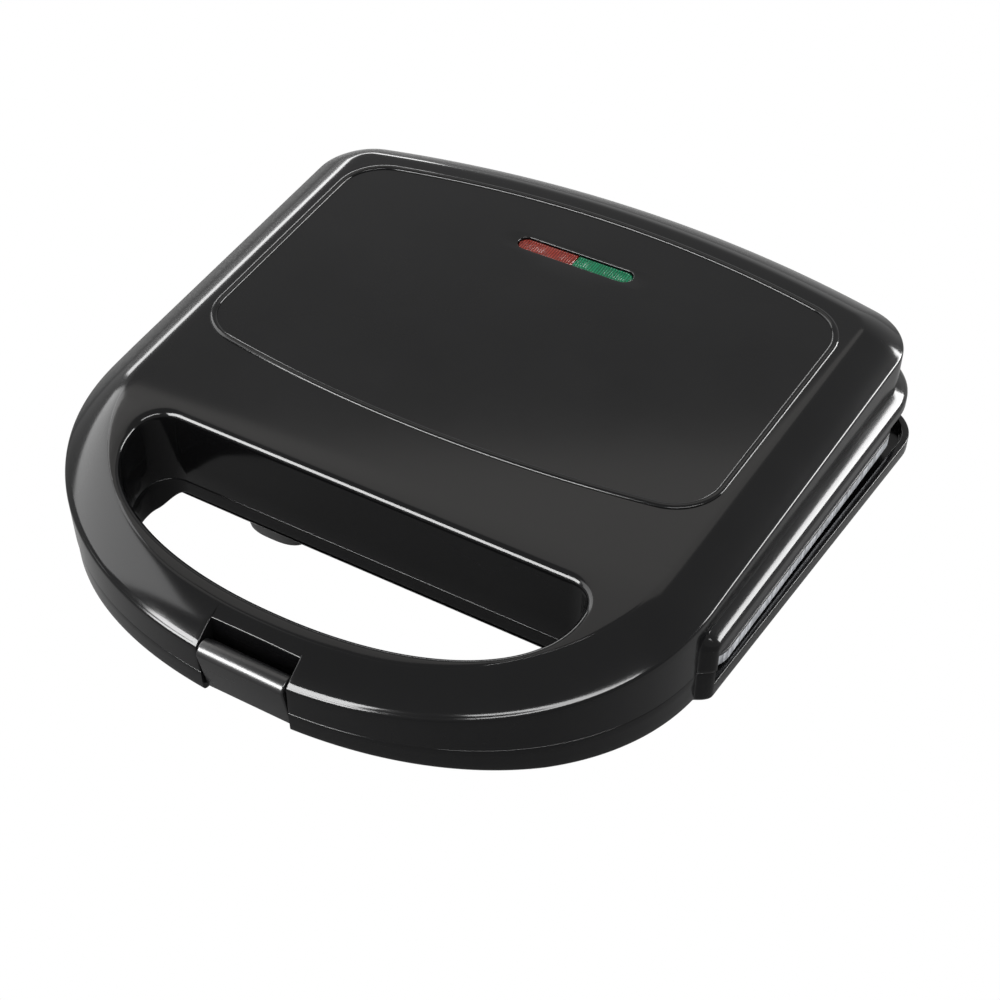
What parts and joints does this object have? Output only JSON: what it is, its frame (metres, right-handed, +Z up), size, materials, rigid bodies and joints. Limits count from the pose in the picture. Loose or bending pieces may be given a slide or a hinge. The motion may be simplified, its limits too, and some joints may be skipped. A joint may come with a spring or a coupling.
{
  "type": "sandwich toaster",
  "caption": "Closed two-slice sandwich toaster: hinged lid with hoop handle and latch, over a tub-shaped base with pocketed cooking plates.",
  "frame": {"origin": "on the table, under the middle of the closed toaster's outline", "axes": "+X to the right, +Y from the handle to the hinge, +Z up"},
  "size_m": [0.24, 0.2494, 0.0862],
  "materials": {
    "gloss_black": "gloss",
    "satin_black": "satin",
    "foot_rubber": "matte",
    "plate_metal": "brushed edge, coated face",
    "plate_coat": "dark non-stick coat",
    "element_steel": "heat-tinted",
    "sheet_steel": "plain",
    "screw_steel": "zinc plated",
    "ceramic": "unglazed ceramic",
    "white_plastic": "matt",
    "red_lens": "clear tinted",
    "green_lens": "clear tinted",
    "lamp_glass": "clear"
  },
  "bodies": {
    "base": {"base_housing": "gloss_black", "feet": "foot_rubber", "lower_plate": "plate_metal", "lower_element": "element_steel", "lower_insulators": "ceramic", "lower_clamps": "sheet_steel", "lower_clamp_screws": "screw_steel", "lower_reflector": "sheet_steel", "base_screws": "screw_steel", "terminal_block": "ceramic", "thermal_fuse": "ceramic", "fuse_clip": "sheet_steel", "cord_gland": "foot_rubber", "hinge_pins": "screw_steel"},
    "lid": {"lid_housing": "gloss_black", "upper_plate": "plate_coat", "upper_element": "element_steel", "upper_insulators": "ceramic", "upper_clamps": "sheet_steel", "upper_clamp_screws": "screw_steel", "upper_reflector": "sheet_steel", "upper_plate_screws": "screw_steel", "thermostat": "ceramic", "lens_red": "red_lens", "lens_green": "green_lens", "lamp_red": "lamp_glass", "lamp_green": "lamp_glass", "lamp_holder": "white_plastic", "latch_pin": "screw_steel"},
    "latch": {"latch": "satin_black"}
  },
  "joints": [
    {"name": "lid_hinge", "type": "hinge", "parent": "base", "child": "lid", "pos_m": [0, 0.10419, 0.0486], "axis": [-1, 0, 0], "range_deg": [0, 100]},
    {"name": "latch_hinge", "type": "hinge", "parent": "lid", "child": "latch", "pos_m": [0, -0.12116, 0.05706], "axis": [-1, 0, 0], "range_deg": [0, 35]}
  ]
}
